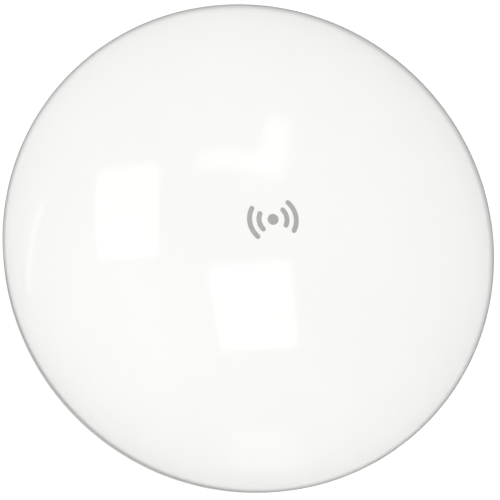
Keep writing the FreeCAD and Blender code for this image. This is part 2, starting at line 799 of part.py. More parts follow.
def make_strap_screw():
    core = rod(screw_radius - 0.9, vec(-9.0, screw_y), X, 16.5)
    turns = 3
    pitch = 2.4
    helix = Part.makeHelix(pitch, turns * pitch, screw_radius - 1.0)
    corners = [
        vec(screw_radius - 1.0, 0, -0.75), vec(screw_radius, 0, -0.35),
        vec(screw_radius, 0, 0.35), vec(screw_radius - 1.0, 0, 0.75)]
    worm = Part.Wire(helix).makePipeShell([Part.makePolygon(corners + corners[:1])], True, True)
    worm.rotate(origin, Y, 90)
    worm.translate(vec(-turns * pitch / 2, screw_y))
    journal = rod(screw_radius, vec(-6.4, screw_y), X, 1.2)
    far_journal = rod(screw_radius, vec(5.2, screw_y), X, 1.2)
    collar = rod(4.1, vec(-7.8, screw_y), X, 1.0)
    hexagon = []
    for n in range(7):
        angle = math.radians(60 * n)
        hexagon.append(vec(-11.8, screw_y + 3.9 * math.cos(angle), 3.9 * math.sin(angle)))
    head = Part.Face(Part.makePolygon(hexagon)).extrude(vec(4.2, 0))
    screw = fuse(core, worm, journal, far_journal, collar, head)
    driver_slot = box(-12.8, -10.2, screw_y - 5, screw_y + 5, -0.5, 0.5)
    return only_solid(screw.cut(driver_slot))


parts = {
    "front_dome": make_dome(),
    "dome_emblem": make_emblem(),
    "dome_seal": make_dome_seal(),
    "reflector_dish": make_reflector(),
    "reflector_screws": make_reflector_screws(),
    "feed_tube": make_feed_tube(),
    "feed_coax": make_feed_coax(),
    "feed_board": make_feed_board(),
    "feed_cap": make_feed_cap(),
    "sub_reflector": make_sub_reflector(),
    "main_board": make_main_board(),
    "board_screws": make_board_screws(),
    "radio_shield": make_radio_shield(),
    "radio_chip": make_radio_chip(),
    "processor_chip": make_processor(),
    "memory_chips": make_memory_chips(),
    "ethernet_transformer": make_transformer(),
    "board_capacitors": make_capacitors(),
    "ethernet_jack": make_jack(),
    "jack_contacts": make_jack_contacts(),
    "reset_switch": make_reset_switch(),
    "reset_button": make_reset_button(),
    "status_leds": make_status_leds(),
    "light_pipes": make_light_pipes(),
    "rear_housing": make_rear_housing(),
    "port_surround": make_port_surround(),
    "port_cover": make_port_cover(),
    "cover_latch": make_cover_latch(),
    "cable_grommet": make_cable_grommet(),
    "ball_liner": make_ball_liner(),
    "compression_ring": make_compression_ring(),
    "thrust_washer": make_thrust_washer(),
    "lock_band": make_lock_band(),
    "pole_bracket": make_pole_bracket(),
    "strap_band": make_strap_band(),
    "strap_housing": make_strap_housing(),
    "strap_screw": make_strap_screw(),
}

os.makedirs("parts", exist_ok=True)
for name, shape in parts.items():
    shape.exportStep("parts/" + name + ".step")
    state = "valid" if shape.isValid() else "INVALID"
    print(name, state, len(shape.Solids), "solids", round(shape.Volume / 1000, 3), "cm3")
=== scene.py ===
import bpy
import bmesh
import json
import math
from mathutils import Matrix, Vector


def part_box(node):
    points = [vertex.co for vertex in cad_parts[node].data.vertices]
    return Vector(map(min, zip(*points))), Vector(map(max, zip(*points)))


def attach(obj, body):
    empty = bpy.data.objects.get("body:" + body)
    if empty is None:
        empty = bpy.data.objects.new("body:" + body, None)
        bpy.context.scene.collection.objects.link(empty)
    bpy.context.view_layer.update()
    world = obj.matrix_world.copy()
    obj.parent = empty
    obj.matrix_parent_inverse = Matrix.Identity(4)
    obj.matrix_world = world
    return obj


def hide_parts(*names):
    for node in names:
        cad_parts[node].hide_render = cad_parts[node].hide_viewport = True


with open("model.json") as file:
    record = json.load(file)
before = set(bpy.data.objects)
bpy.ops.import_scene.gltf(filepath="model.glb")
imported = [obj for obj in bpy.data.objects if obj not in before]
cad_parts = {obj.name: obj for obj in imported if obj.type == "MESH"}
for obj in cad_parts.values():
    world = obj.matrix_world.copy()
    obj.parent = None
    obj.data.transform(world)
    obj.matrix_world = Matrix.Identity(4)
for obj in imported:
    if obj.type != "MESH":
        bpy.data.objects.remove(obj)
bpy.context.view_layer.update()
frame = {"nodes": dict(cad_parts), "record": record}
nodes = frame["nodes"]
print("frame loaded,", len(nodes), "nodes")

mm = 0.001
dome = {"radius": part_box("front_dome")[1].x, "height": 31 * mm, "wall": 2.2 * mm, "lip": 0.35 * mm,
        "rings": 80, "steps": 320}
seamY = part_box("front_dome")[0].y + dome["height"]
ballY = seamY + 51.5 * mm


# mesh helpers

def linkMesh(name, bm):
    mesh = bpy.data.meshes.new(name)
    bm.to_mesh(mesh)
    bm.free()
    obj = bpy.data.objects.new(name, mesh)
    bpy.context.scene.collection.objects.link(obj)
    return obj


def makeObject(name, bm):
    bmesh.ops.recalc_face_normals(bm, faces=bm.faces)
    return linkMesh(name, bm)


def discard(obj):
    mesh = obj.data
    bpy.data.objects.remove(obj)
    bpy.data.meshes.remove(mesh)


def shadeByAngle(obj, degrees=32):
    obj.data.shade_smooth()
    obj.data.set_sharp_from_angle(angle=math.radians(degrees))
    return obj


def gridFaces(bm, rows, closeRows=False, closeColumns=True):
    # rows of vertices, where a row of a single vertex is a pole
    count = len(rows)
    for i in range(count if closeRows else count - 1):
        a = rows[i]
        b = rows[(i + 1) % count]
        steps = max(len(a), len(b))
        for j in range(steps if closeColumns else steps - 1):
            k = (j + 1) % steps
            corners = []
            for vert in (a[j % len(a)], a[k % len(a)], b[k % len(b)], b[j % len(b)]):
                if vert not in corners:
                    corners.append(vert)
            if len(corners) > 2:
                bm.faces.new(corners)


def latheRows(bm, profile, steps, axisY=True, centre=(0, 0, 0)):
    # profile points are (radius, height), and the height runs along Y or along Z
    rows = []
    for radius, height in profile:
        row = []
        for j in range(steps if radius > 1e-7 else 1):
            angle = 2 * math.pi * j / steps
            u = radius * math.cos(angle)
            v = radius * math.sin(angle)
            spot = Vector((u, height, v)) if axisY else Vector((u, v, height))
            row.append(bm.verts.new(spot + Vector(centre)))
        rows.append(row)
    return rows


def lathe(name, profile, steps=192, closed=True, axisY=True, centre=(0, 0, 0)):
    bm = bmesh.new()
    rows = latheRows(bm, profile, steps, axisY, centre)
    gridFaces(bm, rows, closeRows=closed)
    return makeObject(name, bm)


def arcPoints(centre, radius, start, end, count):
    # from the angle start to end in degrees, both ends kept
    points = []
    for i in range(count + 1):
        angle = math.radians(start + (end - start) * i / count)
        points.append((centre[0] + radius * math.cos(angle), centre[1] + radius * math.sin(angle)))
    return points


def curveThrough(a, b, c, count):
    # from a by way of b to c, both ends kept, for an arc that doesn't cross zero degrees
    d = 2 * (a[0] * (b[1] - c[1]) + b[0] * (c[1] - a[1]) + c[0] * (a[1] - b[1]))
    sa, sb, sc = (p[0] ** 2 + p[1] ** 2 for p in (a, b, c))
    x = (sa * (b[1] - c[1]) + sb * (c[1] - a[1]) + sc * (a[1] - b[1])) / d
    y = (sa * (c[0] - b[0]) + sb * (a[0] - c[0]) + sc * (b[0] - a[0])) / d
    start = math.degrees(math.atan2(a[1] - y, a[0] - x)) % 360
    end = math.degrees(math.atan2(c[1] - y, c[0] - x)) % 360
    return arcPoints((x, y), math.hypot(a[0] - x, a[1] - y), start, end, count)


def ellipseY(radius, depth, r):
    return depth * math.sqrt(max(0.0, 1 - (r / radius) ** 2))


def boxMesh(bm, low, high):
    # the two corners may be given in any order
    made = bmesh.ops.create_cube(bm, size=1.0)
    low = Vector(low)
    high = Vector(high)
    for vert in made["verts"]:
        vert.co = Vector(((low[k] + high[k]) / 2 + vert.co[k] * (high[k] - low[k]) for k in range(3)))
    return made["verts"]


def rodMesh(bm, centre, radius, depth, axis="Y", steps=32):
    made = bmesh.ops.create_cone(
        bm, cap_ends=True, segments=steps, radius1=radius, radius2=radius, depth=depth)
    turn = {"X": Matrix.Rotation(math.pi / 2, 3, "Y"), "Y": Matrix.Rotation(math.pi / 2, 3, "X"),
            "Z": Matrix.Identity(3)}[axis]
    for vert in made["verts"]:
        vert.co = turn @ vert.co + Vector(centre)


def freeze(obj):
    # bakes the modifiers into the mesh
    graph = bpy.context.evaluated_depsgraph_get()
    mesh = bpy.data.meshes.new_from_object(obj.evaluated_get(graph))
    obj.modifiers.clear()
    old = obj.data
    obj.data = mesh
    bpy.data.meshes.remove(old)


def cutAway(obj, bm):
    cutter = makeObject(obj.name + "Cutter", bm)
    mod = obj.modifiers.new("cut", "BOOLEAN")
    mod.operation = "DIFFERENCE"
    mod.solver = "EXACT"
    mod.use_self = True
    mod.object = cutter
    freeze(obj)
    discard(cutter)


def softenEdges(obj, width, segments=2, degrees=40):
    mod = obj.modifiers.new("edge", "BEVEL")
    mod.width = width
    mod.segments = segments
    mod.limit_method = "ANGLE"
    mod.angle_limit = math.radians(degrees)
    mod.use_clamp_overlap = True
    mod.miter_outer = "MITER_ARC"
    freeze(obj)


def joinInto(name, parts):
    bm = bmesh.new()
    for part in parts:
        bm.from_mesh(part.data)
        discard(part)
    return linkMesh(name, bm)


pieceSlots = {}


def place(obj, body, slot, *replaced):
    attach(obj, body)
    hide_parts(*replaced)
    pieceSlots[obj] = slot


# front dome: half an ellipsoid with a rounded lip, and the tongue that plugs into the housing

tongue = {"inner": 88.4 * mm, "outer": 90.2 * mm, "front": 8.6 * mm, "back": 5.0 * mm}
hook = {"count": 8, "half": 6 * mm, "front": 3 * mm, "back": 4.6 * mm, "sink": 0.5 * mm, "stand": 0.7 * mm}


def makeDome():
    r = dome["radius"]
    h = dome["height"]
    lip = dome["lip"]
    wall = dome["wall"]
    last = math.acos(lip / h)
    profile = []
    for i in range(dome["rings"] + 1):
        t = last * i / dome["rings"]
        profile.append((r * math.sin(t), seamY - h * math.cos(t)))
    profile += arcPoints((r - lip, seamY - lip), lip, 0, 90, 4)[1:]
    for i in range(41):
        t = math.pi / 2 * (1 - i / 40)
        profile.append(((r - wall) * math.sin(t), seamY - (h - wall) * math.cos(t)))
    shell = lathe("domeShell", profile, dome["steps"], closed=False)
    ring = lathe("domeTongue", [
        (tongue["inner"], seamY - tongue["front"]), (tongue["outer"], seamY - tongue["front"]),
        (tongue["outer"], seamY + tongue["back"]), (tongue["inner"], seamY + tongue["back"])], 192)
    hooks = bmesh.new()
    for n in range(hook["count"]):
        verts = boxMesh(hooks, (-hook["half"], seamY + hook["front"], tongue["outer"] - hook["sink"]),
                        (hook["half"], seamY + hook["back"], tongue["outer"] + hook["stand"]))
        turn = Matrix.Rotation(2 * math.pi * n / hook["count"], 3, "Y")
        bmesh.ops.rotate(hooks, verts=verts, cent=(0, 0, 0), matrix=turn)
    piece = joinInto("frontDome", [shell, ring, makeObject("domeHooks", hooks)])
    place(shadeByAngle(piece, 30), "antenna", "dome_gloss_white", "front_dome")


# emblem: a dot between two pairs of arcs, an ink film that follows the dome

emblem = {"dot": 2.0 * mm, "arcs": ((4.2 * mm, 6.0 * mm), (7.6 * mm, 9.4 * mm)), "sweep": 44.0,
          "film": 0.06 * mm, "sunk": 0.02 * mm}


def onDome(x, z, lift=0.0):
    r = math.hypot(x, z)
    return Vector((x, seamY - lift - ellipseY(dome["radius"], dome["height"], r), z))


def filmPatch(bm, rows):
    # a thin closed film over a grid of (x, z) points
    top = [[bm.verts.new(onDome(x, z, emblem["film"])) for x, z in row] for row in rows]
    under = [[bm.verts.new(onDome(x, z, -emblem["sunk"])) for x, z in row] for row in rows]
    gridFaces(bm, top, closeColumns=False)
    gridFaces(bm, under, closeColumns=False)
    edge = [top[0], [row[-1] for row in top], top[-1][::-1], [row[0] for row in top][::-1]]
    foot = [under[0], [row[-1] for row in under], under[-1][::-1], [row[0] for row in under][::-1]]
    for a, b in zip(edge, foot):
        for i in range(len(a) - 1):
            bm.faces.new((a[i], a[i + 1], b[i + 1], b[i]))


def makeEmblem():
    bm = bmesh.new()
    for middle in (0, 180):
        for inner, outer in emblem["arcs"]:
            radius = (inner + outer) / 2
            half = (outer - inner) / 2
            rows = []
            for i in range(41):
                # round ends: the width closes over the last few degrees
                angle = middle + emblem["sweep"] * (2 * i / 40 - 1)
                reach = math.radians(emblem["sweep"] - abs(angle - middle)) * radius
                width = half * math.sqrt(max(0.02, 1 - (1 - min(1, reach / half)) ** 2))
                turn = math.radians(angle)
                across = [radius + width * (2 * j / 6 - 1) for j in range(7)]
                rows.append([(r * math.cos(turn), r * math.sin(turn)) for r in across])
            filmPatch(bm, rows)
    rows = [[bm.verts.new(onDome(0, 0, emblem["film"]))]]
    for i in range(1, 6):
        ring = arcPoints((0, 0), emblem["dot"] * i / 5, 0, 360, 48)[:-1]
        rows.append([bm.verts.new(onDome(x, z, emblem["film"])) for x, z in ring])
    edge = [bm.verts.new(onDome(vert.co.x, vert.co.z, -emblem["sunk"])) for vert in rows[-1]]
    base = [bm.verts.new(onDome(0, 0, -emblem["sunk"]))]
    gridFaces(bm, rows + [edge, base])
    piece = makeObject("domeEmblem", bm)
    place(shadeByAngle(piece, 40), "antenna", "emblem_grey", "dome_emblem")


# rear housing: bowl, ball socket, threaded neck and port block

bowl = {"radius": dome["radius"] - 0.1 * mm, "depth": 38 * mm, "wall": 2.4 * mm, "gap": 0.4 * mm,
        "lip": 0.35 * mm, "skirt": 5.5 * mm, "shoulder": 28 * mm, "socket": 18.3 * mm, "socketWall": 2 * mm,
        "cupAngle": 52}
rimY = seamY + bowl["gap"]
ledge = {"outer": 91.5 * mm, "inner": 90.5 * mm, "front": seamY - 2.6 * mm}
neck = {"root": 21.7 * mm, "crest": 22.6 * mm, "bore": 18.4 * mm, "end": ballY + 6 * mm, "pitch": 4 * mm,
        "edge": 0.4 * mm}
block = {"half": 17 * mm, "wall": 1.8 * mm, "top": -30.3 * mm, "bottom": -80 * mm, "corner": 3 * mm,
         "back": seamY + 46 * mm, "panel": 2.1 * mm, "coverSeam": -50 * mm, "wallTop": seamY + 41 * mm,
         "bay": seamY + 27.7 * mm, "floor": seamY + 31.2 * mm, "bulkheadTop": -49 * mm,
         "bulkheadBottom": -50.6 * mm, "flare": 2.2 * mm, "round": 1.1 * mm, "sink": 1.2 * mm,
         "groove": seamY + 38.3 * mm, "grooveHeight": 1.6 * mm, "grooveDepth": 0.9 * mm}
portInner = block["half"] - block["wall"]
portRoof = block["back"] - block["panel"]
portMiddle = (block["top"] + block["bottom"]) / 2
past = 5 * mm   # how far a cutter runs out into the open
jackMouth = {"half": 8.15 * mm, "low": seamY + 30 * mm, "high": seamY + 43.65 * mm}
latchSlot = {"near": 9.6 * mm, "far": 13.8 * mm, "depth": 3.2 * mm}
resetHole = {"x": 11.5 * mm, "y": seamY + 32.9 * mm, "radius": 1.3 * mm}
guides = {"count": 6, "circle": 34 * mm, "step": 10.5, "radius": 1.6 * mm, "play": 0.12 * mm,
          "front": seamY + 31 * mm}
guideSpots = []
for n in range(guides["count"]):
    angle = math.radians((n - (guides["count"] - 1) / 2) * guides["step"])
    guideSpots.append((guides["circle"] * math.cos(angle), guides["circle"] * math.sin(angle)))


def bowlBack(x, z):
    # a short straight skirt behind the rim, then half an ellipsoid
    skirt = bowl["skirt"]
    return rimY + skirt + ellipseY(bowl["radius"], bowl["depth"] - skirt, math.hypot(x, z))


def helixRidge(bm, base, crest, halfBase, halfCrest, startY, turns, pitch, steps=96):
    # right-hand thread about Y that winds towards +Y, tapered over its first and last eighth turn
    rows = []
    total = int(turns * steps)
    for i in range(total + 1):
        angle = 2 * math.pi * i / steps
        taper = min(1.0, i / (steps / 8), (total - i) / (steps / 8))
        top = base + (crest - base) * max(0.03, taper)
        row = []
        for radius, shift in ((base, -halfBase), (top, -halfCrest), (top, halfCrest), (base, halfBase)):
            y = startY + pitch * i / steps + shift
            row.append(bm.verts.new((radius * math.cos(angle), y, -radius * math.sin(angle))))
        rows.append(row)
    gridFaces(bm, rows)
    bm.faces.new(rows[0])
    bm.faces.new(rows[-1][::-1])


def makeBowl():
    r = bowl["radius"]
    lip = bowl["lip"]
    skirtY = rimY + bowl["skirt"]
    depth = bowl["depth"] - bowl["skirt"]
    shoulderY = bowlBack(bowl["shoulder"], 0)
    profile = arcPoints((r - lip, rimY + lip), lip, -90, 0, 4)
    last = math.acos(bowl["shoulder"] / r)
    for i in range(71):
        t = last * i / 70
        profile.append((r * math.cos(t), skirtY + depth * math.sin(t)))
    # a fillet from the shoulder to the neck
    root = neck["root"]
    profile += curveThrough((bowl["shoulder"], shoulderY), (root + 1.9 * mm, shoulderY + 1.35 * mm),
                            (root, shoulderY + 4.6 * mm), 12)[1:]
    edge = neck["edge"]
    profile += arcPoints((root - edge, neck["end"] - edge), edge, 0, 90, 3)
    profile += [(neck["bore"] + edge, neck["end"]), (neck["bore"], neck["end"] - edge), (neck["bore"], ballY)]
    profile += arcPoints((0, ballY), bowl["socket"], -2, -90, 24)
    # back up the outside of the ball's cup and along the inside of the bowl
    cup = bowl["socket"] + bowl["socketWall"]
    profile += arcPoints((0, ballY), cup, -90, -bowl["cupAngle"], 16)
    inner = r - bowl["wall"]
    innerDepth = depth - bowl["wall"]
    first = math.acos(cup * math.cos(math.radians(bowl["cupAngle"])) / inner)
    for i in range(41):
        t = first * (1 - i / 40)
        profile.append((inner * math.cos(t), skirtY + innerDepth * math.sin(t)))
    shell = lathe("bowlShell", profile + [(inner, rimY + 0.5 * mm), (inner, rimY)], 320)
    foot = rimY + 2.2 * mm
    ring = lathe("bowlLip", [
        (inner, rimY + 0.9 * mm), (ledge["outer"], rimY + 0.7 * mm), (ledge["outer"], ledge["front"]),
        (ledge["inner"], ledge["front"]), (ledge["inner"], foot), (inner - 0.9 * mm, foot)], 256)
    cuts = bmesh.new()
    for x, z in guideSpots:
        rodMesh(cuts, (x, bowlBack(x, z), z), guides["radius"] + guides["play"], 12 * mm)
    portCuts(cuts, 0.05 * mm)
    cutAway(shell, cuts)
    return [shell, ring]


def portCuts(bm, spare=0.0):
    # the bay and the plug room, cut a little larger in the bowl so that its faces don't meet the block's
    inner = portInner + spare
    boxMesh(bm, (-inner, block["bay"], block["bulkheadTop"] - spare),
            (inner, portRoof, block["top"] - block["wall"] + spare))
    boxMesh(bm, (-inner, block["floor"] - spare, block["bottom"] - past),
            (inner, portRoof + past, block["bulkheadBottom"] + spare))


def roundedOutline(x0, x1, z0, z1, radius, arcSteps=8, sideSteps=10):
    # points of a rounded rectangle in the XZ plane with their outward directions
    points = []
    corners = [(x1 - radius, z1 - radius, 0), (x0 + radius, z1 - radius, 90),
               (x0 + radius, z0 + radius, 180), (x1 - radius, z0 + radius, 270)]
    for n, (cx, cz, start) in enumerate(corners):
        for i in range(arcSteps + 1):
            angle = math.radians(start + 90 * i / arcSteps)
            points.append((cx + radius * math.cos(angle), cz + radius * math.sin(angle),
                           math.cos(angle), math.sin(angle)))
        nx, nz, nextStart = corners[(n + 1) % 4]
        a = points[-1]
        angle = math.radians(nextStart)
        b = (nx + radius * math.cos(angle), nz + radius * math.sin(angle))
        for i in range(1, sideSteps):
            t = i / sideSteps
            points.append((a[0] + (b[0] - a[0]) * t, a[1] + (b[1] - a[1]) * t,
                           math.cos(angle), math.sin(angle)))
    return points


def loftBlock(name, outline, rowSpecs, capLow, capHigh):
    # each row spec is a function of (x, z, nx, nz) that gives a point
    bm = bmesh.new()
    rows = [[bm.verts.new(spec(*p)) for p in outline] for spec in rowSpecs]
    low = [bm.verts.new(capLow)]
    high = [bm.verts.new(capHigh)]
    gridFaces(bm, [low] + rows + [high])
    return makeObject(name, bm)


def wallRow(offset, y):
    return lambda x, z, nx, nz: Vector((x + nx * offset, y, z + nz * offset))


def softRows(soft, y):
    # rounds the rear edge of a block whose back stands at y
    rows = []
    for i in range(5):
        angle = math.radians(22.5 * i)
        rows.append(wallRow(-soft * (1 - math.cos(angle)), y - soft * (1 - math.sin(angle))))
    return rows


def flareRow(offset, height):
    return lambda x, z, nx, nz: Vector((
        x + nx * offset, bowlBack(x + nx * offset, z + nz * offset) + height, z + nz * offset))


def makePortBlock():
    outline = roundedOutline(-block["half"], block["half"], block["bottom"], block["top"], block["corner"])
    flare = block["flare"]
    rows = [flareRow(flare, -block["sink"]), flareRow(flare, -0.03 * mm)]
    for i in range(1, 7):
        angle = math.radians(15 * i)
        rows.append(flareRow(flare * (1 - math.sin(angle)), flare * (1 - math.cos(angle))))
    rows.append(wallRow(0, block["wallTop"] - 1 * mm))
    rows += softRows(block["round"], block["back"])
    body = loftBlock("portBody", outline, rows, (0, bowlBack(0, portMiddle) - block["sink"], portMiddle),
                     (0, block["back"], portMiddle))
    cuts = bmesh.new()
    portCuts(cuts)
    boxMesh(cuts, (-block["half"] - past, block["wallTop"], block["bottom"] - past),
            (block["half"] + past, block["back"] + past, block["coverSeam"]))
    # through the bulkhead: the socket's mouth, the latch's two slots and the reset hole
    near = block["bulkheadBottom"] - 1 * mm
    far = block["bulkheadTop"] + 1 * mm
    boxMesh(cuts, (-jackMouth["half"], jackMouth["low"], near), (jackMouth["half"], jackMouth["high"], far))
    for side in (-1, 1):
        boxMesh(cuts, (side * latchSlot["near"], portRoof - latchSlot["depth"], near),
                (side * latchSlot["far"], portRoof, far))
    rodMesh(cuts, (resetHole["x"], resetHole["y"], block["coverSeam"]), resetHole["radius"], 6 * mm, "Z", 24)
    # the grooves that the cover's rails slide in
    wide = portInner + block["grooveDepth"]
    boxMesh(cuts, (-wide, block["groove"], block["bottom"] - past),
            (wide, block["groove"] + block["grooveHeight"], block["bulkheadBottom"]))
    cutAway(body, cuts)
    softenEdges(body, 0.22 * mm)
    plate = bmesh.new()   # stands a hair above the cut floor, where bowl and block meet in one plane
    boxMesh(plate, (-block["half"] + 0.3 * mm, block["floor"] - 1.8 * mm, -62 * mm),
            (block["half"] - 0.3 * mm, block["floor"] + 0.05 * mm, block["bulkheadTop"] + 0.01 * mm))
    return [body, makeObject("portFloor", plate)]


posts = {"board": ((19 * mm, 20 * mm), (-19 * mm, 20 * mm), (22 * mm, -17 * mm), (-22 * mm, -17 * mm)),
         "boardFront": seamY + 30.1 * mm, "boardRadius": 3 * mm, "dishCircle": 70 * mm,
         "dishFront": seamY + 5.4 * mm, "dishRadius": 3.4 * mm, "under": 0.8 * mm}


def makePosts():
    # four posts carry the circuit board and four the dish, each ending inside the bowl's wall
    bm = bmesh.new()
    spots = []
    for x, z in posts["board"]:
        top = bowlBack(abs(x) + posts["boardRadius"], z)
        spots.append((x, z, posts["boardRadius"], posts["boardFront"], top))
    for x, z in arcPoints((0, 0), posts["dishCircle"], 45, 315, 3):
        top = bowlBack(posts["dishCircle"] + posts["dishRadius"], 0)
        spots.append((x, z, posts["dishRadius"], posts["dishFront"], top))
    for x, z, radius, front, top in spots:
        back = top - posts["under"]
        rodMesh(bm, (x, (front + back) / 2, z), radius, back - front)
    return makeObject("screwPosts", bm)


# half widths of a thread's ridge, and how deep its foot sits in the wall
ridge = {"base": 0.8 * mm, "crest": 0.5 * mm, "sink": 0.2 * mm}


def makeRearHousing():
    thread = bmesh.new()
    helixRidge(thread, neck["root"] - ridge["sink"], neck["crest"], ridge["base"], ridge["crest"],
               ballY - 5 * mm, 2.25, neck["pitch"])
    parts = makeBowl() + makePortBlock() + [makeObject("neckThread", thread), makePosts()]
    piece = joinInto("rearHousing", parts)
    place(shadeByAngle(piece, 30), "antenna", "housing_white", "rear_housing", "port_surround")


# port cover, latch and grommet

cover = {"low": block["wallTop"] + 0.25 * mm, "seam": block["coverSeam"] - 0.25 * mm, "end": 2 * mm,
         "gap": 0.25 * mm, "cableY": seamY + 37.4 * mm, "neck": 4.4 * mm}
window = {"half": 5.5 * mm, "low": -68 * mm, "high": -57 * mm}
rail = {"near": portInner - 1.3 * mm, "far": portInner - 0.2 * mm, "tip": portInner + 0.7 * mm,
        "play": 0.2 * mm, "low": block["bottom"] + 1 * mm, "high": cover["seam"] - 1.5 * mm}
grip = {"count": 4, "first": -72.2 * mm, "pitch": 1.5 * mm, "radius": 0.45 * mm, "length": 16 * mm}


def makePortCover():
    outline = roundedOutline(-block["half"], block["half"], block["bottom"], block["top"], block["corner"])
    rows = [wallRow(0, cover["low"])] + softRows(block["round"], block["back"])
    cap = loftBlock("coverCap", outline, rows, (0, cover["low"], portMiddle), (0, block["back"], portMiddle))
    cuts = bmesh.new()
    boxMesh(cuts, (-block["half"] - past, block["wallTop"] - past, cover["seam"]),
            (block["half"] + past, block["back"] + past, 0))
    boxMesh(cuts, (-portInner, block["wallTop"] - past, block["bottom"] + cover["end"]),
            (portInner, portRoof, 0))
    boxMesh(cuts, (-window["half"], portRoof - past, window["low"]),
            (window["half"], block["back"] + past, window["high"]))
    cutAway(cap, cuts)
    rails = bmesh.new()
    tongueLow = block["groove"] + rail["play"]
    tongueHigh = block["groove"] + block["grooveHeight"] - rail["play"]
    for side in (-1, 1):
        boxMesh(rails, (side * rail["near"], block["groove"] - 0.8 * mm, rail["low"]),
                (side * rail["far"], portRoof + 0.5 * mm, rail["high"]))
        boxMesh(rails, (side * rail["near"], tongueLow, rail["low"]),
                (side * rail["tip"], tongueHigh, rail["high"]))
    wall = bmesh.new()
    boxMesh(wall, (-portInner + cover["gap"], block["floor"] + cover["gap"], block["bottom"]),
            (portInner - cover["gap"], portRoof + 0.5 * mm, block["bottom"] + cover["end"]))
    endWall = makeObject("coverEnd", wall)
    hole = bmesh.new()
    rodMesh(hole, (0, cover["cableY"], block["bottom"]), cover["neck"], 12 * mm, "Z", 64)
    cutAway(endWall, hole)
    ribs = bmesh.new()
    for n in range(grip["count"]):
        z = grip["first"] - n * grip["pitch"]
        rodMesh(ribs, (0, block["back"] - 0.12 * mm, z), grip["radius"], grip["length"], "X", 20)
    softenEdges(cap, 0.22 * mm)
    softenEdges(endWall, 0.22 * mm)
    parts = [cap, makeObject("coverRails", rails), endWall, makeObject("coverGrip", ribs)]
    piece = joinInto("portCover", parts)
    place(shadeByAngle(piece, 30), "cover", "housing_white", "port_cover")


latch = {"gap": 0.3 * mm, "corner": 1.2 * mm, "proud": 0.6 * mm, "soft": 0.5 * mm, "plate": 1.2 * mm,
         "reach": 13.4 * mm, "arm": 3.4 * mm, "armPlay": 0.4 * mm, "hookLow": -48.2 * mm,
         "hookHigh": -46.6 * mm, "grooves": 3, "grooveRadius": 0.5 * mm, "groovePitch": 2.4 * mm}


def makeLatch():
    gap = latch["gap"]
    half = window["half"] - gap
    outline = roundedOutline(-half, half, window["low"] + gap, window["high"] - gap, latch["corner"], 6, 4)
    top = portRoof - gap
    foot = top - latch["plate"]
    back = block["back"] + latch["proud"]
    start = top - latch["plate"] / 2
    middleZ = (window["low"] + window["high"]) / 2
    rows = [wallRow(0, start)] + softRows(latch["soft"], back)
    button = loftBlock("latchButton", outline, rows, (0, start, middleZ), (0, back, middleZ))
    grooves = bmesh.new()
    for n in range(latch["grooves"]):
        z = middleZ + (n - (latch["grooves"] - 1) / 2) * latch["groovePitch"]
        rodMesh(grooves, (0, back + 0.15 * mm, z), latch["grooveRadius"], 30 * mm, "X", 24)
    cutAway(button, grooves)
    # a plate under the cover's roof, with two arms that hook behind the bulkhead
    arms = bmesh.new()
    low = window["low"] + 1 * mm
    boxMesh(arms, (-latch["reach"], foot, low), (latch["reach"], top, window["high"] - 2 * mm))
    for side in (-1, 1):
        near = side * (latch["reach"] - latch["arm"])
        far = side * latch["reach"]
        boxMesh(arms, (near, foot, low), (far, top - latch["armPlay"], latch["hookHigh"]))
        boxMesh(arms, (near, foot, latch["hookLow"]), (far, top, latch["hookHigh"]))
    piece = joinInto("coverLatch", [button, makeObject("latchArms", arms)])
    place(shadeByAngle(piece, 30), "latch", "housing_white", "cover_latch")


grommet = {"bore": 3.25 * mm, "flange": 5.3 * mm, "outside": 1.6 * mm, "inside": 3.6 * mm, "play": 0.05 * mm}


def makeGrommet():
    # a flange on each side of the cover's end wall, with a waist in its hole
    bore = grommet["bore"]
    flange = grommet["flange"]
    wallLow = block["bottom"] - grommet["play"]
    wallHigh = block["bottom"] + cover["end"] + grommet["play"]
    waist = cover["neck"] - grommet["play"]
    low = block["bottom"] - grommet["outside"]
    high = block["bottom"] + grommet["inside"]
    profile = [(bore, low + 0.4 * mm), (bore + 0.4 * mm, low), (flange - 0.7 * mm, low),
               (flange - 0.2 * mm, low + 0.25 * mm), (flange, low + 0.7 * mm), (flange, wallLow),
               (waist, wallLow), (waist, wallHigh), (flange - 0.2 * mm, wallHigh),
               (flange - 0.6 * mm, high), (bore, high)]
    piece = lathe("cableGrommet", profile, 96, axisY=False, centre=(0, cover["cableY"], 0))
    place(shadeByAngle(piece, 40), "cover", "black_rubber", "cable_grommet")


# lock band: a threaded ring with grip ribs

band = {"inner": 23 * mm, "outer": 27 * mm, "front": -12.8 * mm, "back": 11.5 * mm, "soft": 0.8 * mm,
        "mouth": 25 * mm, "mouthDepth": 3 * mm, "flange": 17 * mm, "flangeFront": 9.6 * mm, "ribs": 24,
        "ribRadius": 1.5 * mm, "ribSink": 0.3 * mm, "ribFront": -11.4 * mm, "ribBack": 9.4 * mm,
        "ribEnd": 1.2 * mm, "ribSteps": 18}


